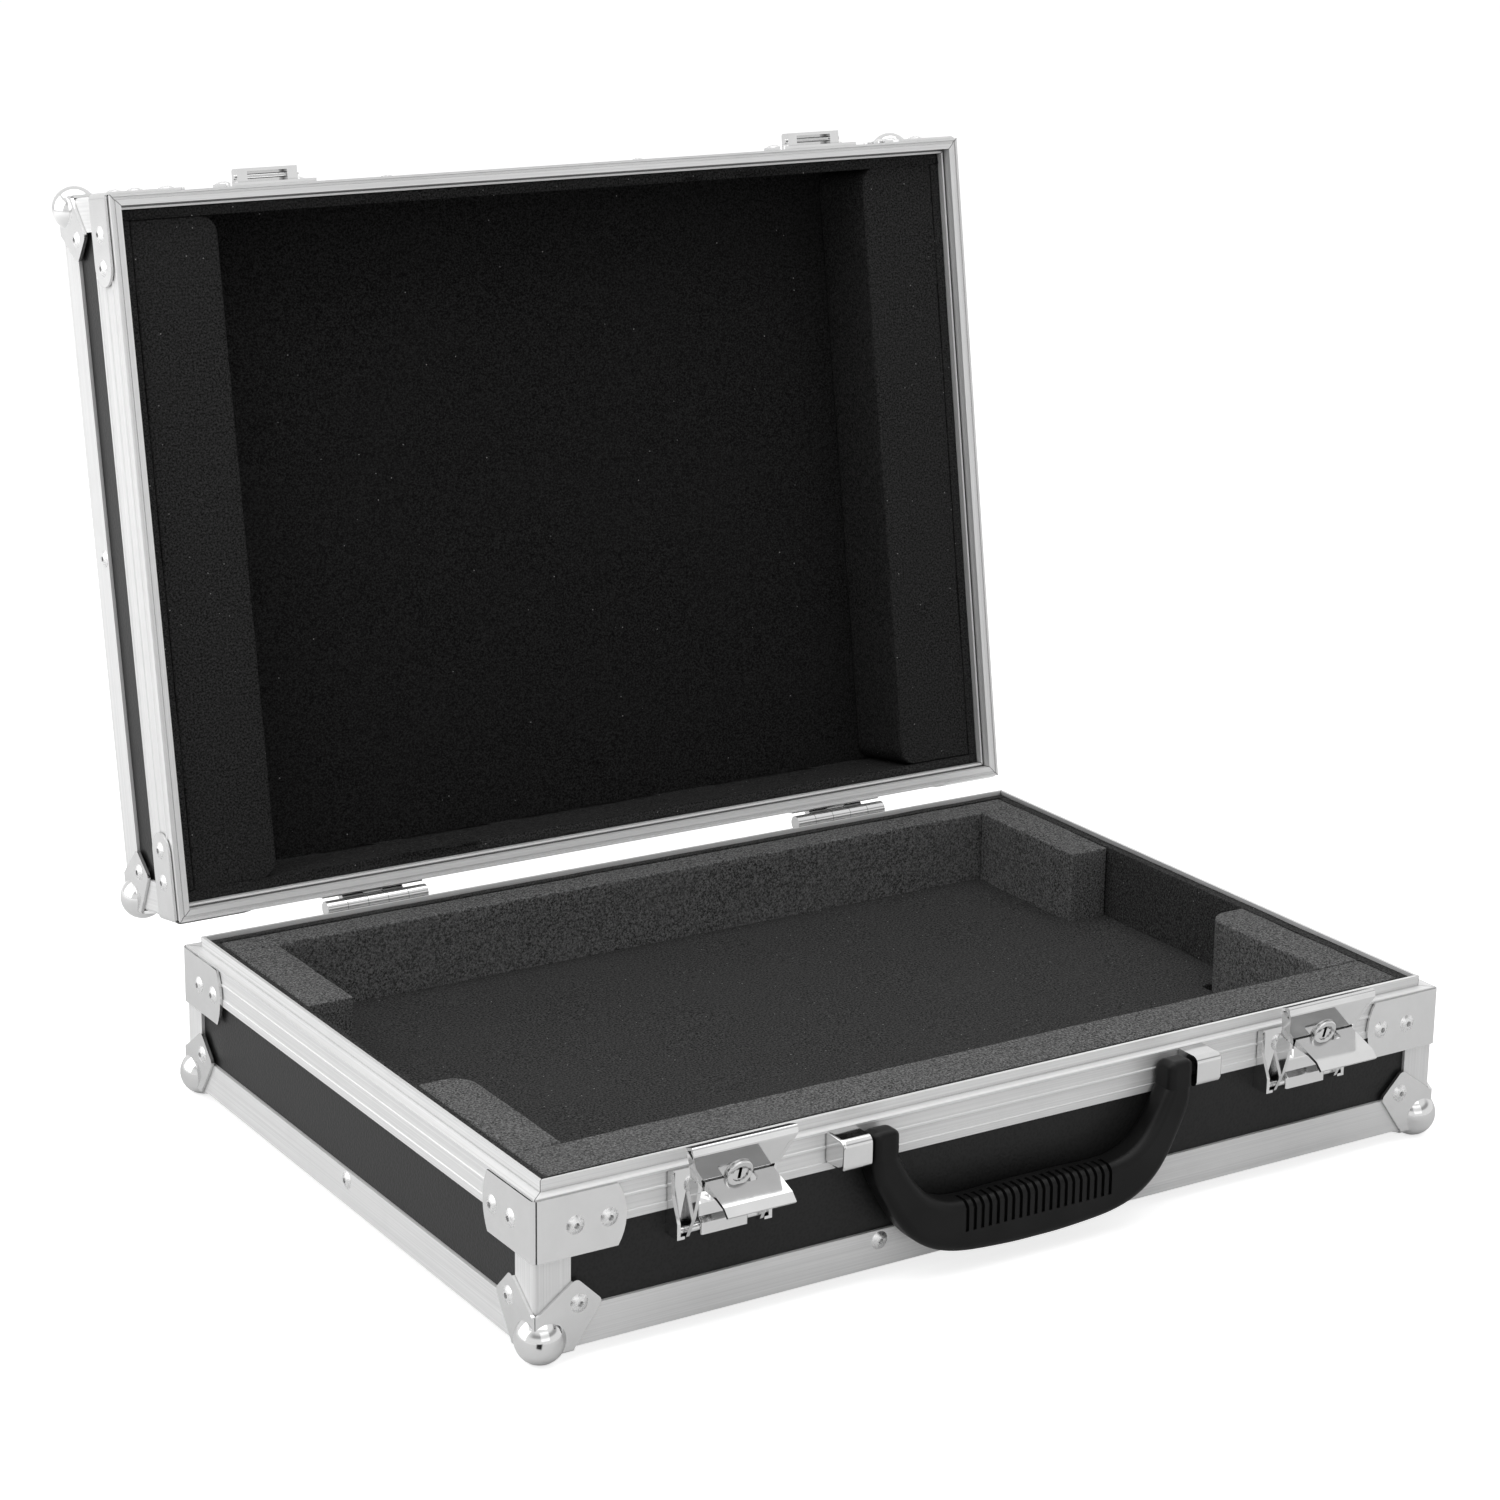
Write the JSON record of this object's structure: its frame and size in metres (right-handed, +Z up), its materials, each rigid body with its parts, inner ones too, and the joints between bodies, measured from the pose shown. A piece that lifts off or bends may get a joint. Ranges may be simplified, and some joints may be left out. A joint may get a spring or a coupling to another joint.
{
  "type": "laptop hard case",
  "caption": "Hard case for a laptop with a foam-lined base and hinged lid, aluminium edges, ball corners, two key-lock draw latches and a folding carrying handle.",
  "frame": {"origin": "middle of the bare underside of the base's bottom panel, between the bottom angles", "axes": "+X to the right along the front as seen from the front, +Y from the front wall to the hinges, +Z up"},
  "size_m": [0.451, 0.4674, 0.3945],
  "materials": {
    "laminate": "satin",
    "extrusion": "satin",
    "chromed_steel": "polished",
    "rivet_metal": "satin",
    "foam": "matte",
    "moulded_grip": "matte"
  },
  "bodies": {
    "base": {"base_bottom_panel": "laminate", "base_front_panel": "laminate", "base_back_panel": "laminate", "base_left_panel": "laminate", "base_right_panel": "laminate", "base_front_rim": "extrusion", "base_back_rim": "extrusion", "base_left_rim": "extrusion", "base_right_rim": "extrusion", "base_bottom_angles": "extrusion", "base_corner_angles": "extrusion", "base_corner_braces": "chromed_steel", "base_ball_corners": "chromed_steel", "base_rivets": "rivet_metal", "base_foam_lining": "foam", "base_bottom_pad": "foam", "base_front_strip": "foam", "base_rear_strip": "foam", "base_left_front_block": "foam", "base_right_front_block": "foam", "base_left_rear_block": "foam", "base_right_rear_block": "foam", "handle_brackets": "chromed_steel", "latch_bases": "chromed_steel", "latch_pins": "chromed_steel", "hinge_base_leaves": "chromed_steel", "hinge_pins": "chromed_steel"},
    "lid": {"lid_top_panel": "laminate", "lid_front_panel": "laminate", "lid_back_panel": "laminate", "lid_left_panel": "laminate", "lid_right_panel": "laminate", "lid_front_rim": "extrusion", "lid_back_rim": "extrusion", "lid_left_rim": "extrusion", "lid_right_rim": "extrusion", "lid_top_angles": "extrusion", "lid_corner_angles": "extrusion", "lid_corner_braces": "chromed_steel", "lid_ball_corners": "chromed_steel", "lid_rivets": "rivet_metal", "lid_foam_lining": "foam", "lid_back_lining": "foam", "lid_left_block": "foam", "lid_right_block": "foam", "lid_keepers": "chromed_steel", "hinge_lid_leaves": "chromed_steel"},
    "handle": {"handle": "moulded_grip"},
    "hook_left": {"latch_hook_left": "chromed_steel", "lever_pins_left": "chromed_steel", "lock_barrel_left": "chromed_steel"},
    "lever_left": {"latch_lever_left": "chromed_steel"},
    "plug_left": {"lock_plug_left": "chromed_steel"},
    "hook_right": {"latch_hook_right": "chromed_steel", "lever_pins_right": "chromed_steel", "lock_barrel_right": "chromed_steel"},
    "lever_right": {"latch_lever_right": "chromed_steel"},
    "plug_right": {"lock_plug_right": "chromed_steel"}
  },
  "joints": [
    {"name": "lid_hinge", "type": "hinge", "parent": "base", "child": "lid", "pos_m": [0, 0.164, 0.064], "axis": [-1, 0, 0], "range_deg": [-99.4, 0]},
    {"name": "handle_swing", "type": "hinge", "parent": "base", "child": "handle", "pos_m": [0, -0.1648, 0.0553], "axis": [-1, 0, 0], "range_deg": [0, 98]},
    {"name": "hook_left_swing", "type": "hinge", "parent": "base", "child": "hook_left", "pos_m": [-0.1425, -0.163, 0.038], "axis": [1, 0, 0], "range_deg": [-17.1, 0]},
    {"name": "lever_left_fold", "type": "hinge", "parent": "hook_left", "child": "lever_left", "pos_m": [-0.1425, -0.17272, 0.06075], "axis": [-1, 0, 0], "range_deg": [-87, 0]},
    {"name": "lock_left_turn", "type": "hinge", "parent": "hook_left", "child": "plug_left", "pos_m": [-0.1425, -0.17375, 0.06273], "axis": [0, -0.9558, -0.294], "range_deg": [0, 90]},
    {"name": "hook_right_swing", "type": "hinge", "parent": "base", "child": "hook_right", "pos_m": [0.1425, -0.163, 0.038], "axis": [1, 0, 0], "range_deg": [-17.1, 0]},
    {"name": "lever_right_fold", "type": "hinge", "parent": "hook_right", "child": "lever_right", "pos_m": [0.1425, -0.17272, 0.06075], "axis": [-1, 0, 0], "range_deg": [-87, 0]},
    {"name": "lock_right_turn", "type": "hinge", "parent": "hook_right", "child": "plug_right", "pos_m": [0.1425, -0.17375, 0.06273], "axis": [0, -0.9558, -0.294], "range_deg": [0, 90]}
  ]
}
